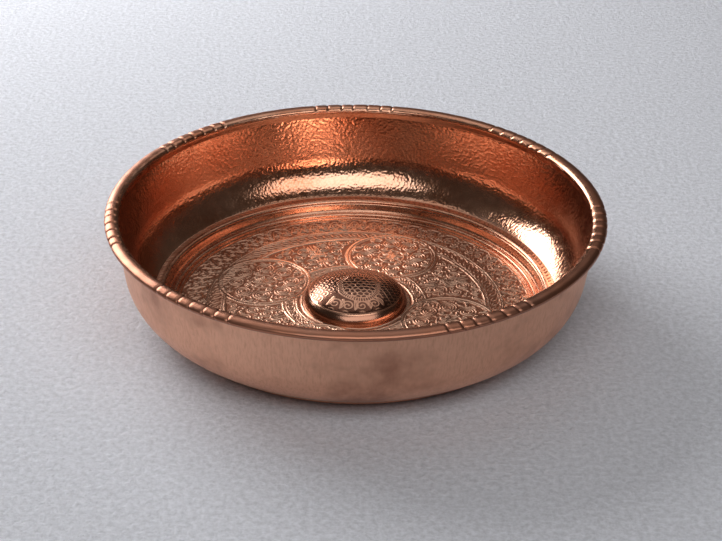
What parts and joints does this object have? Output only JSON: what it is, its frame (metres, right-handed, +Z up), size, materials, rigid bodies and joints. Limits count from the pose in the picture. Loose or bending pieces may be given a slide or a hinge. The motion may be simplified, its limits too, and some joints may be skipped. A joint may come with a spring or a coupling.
{
  "type": "hammered copper bath bowl",
  "caption": "Shallow round bowl with a leaning hammered wall, a rolled notched rim, a sunk engraved floor and a hollow domed boss in its middle.",
  "frame": {"origin": "centre of the foot, on the plane that the bowl stands on", "axes": "+Z up along the bowl's turning axis, +X and +Y level; the notch groups on the rim are at uneven bearings, one of them near +Y"},
  "size_m": [0.201, 0.201, 0.0458],
  "materials": {
    "wall_copper": "copper, hammered inside and brushed dull outside, with a polished rim",
    "wire_copper": "copper wire, hammered flat",
    "floor_copper": "copper, engraved, with dark patina in the cut ground",
    "boss_copper": "copper, engraved and polished over a dark patina",
    "tin_solder": "dull tin solder"
  },
  "bodies": {
    "root": {"bowl_wall": "wall_copper", "rim_wire": "wire_copper", "floor_plate": "floor_copper", "floor_seam_solder": "tin_solder", "boss_dome": "boss_copper", "boss_seam_solder": "tin_solder"}
  },
  "joints": []
}
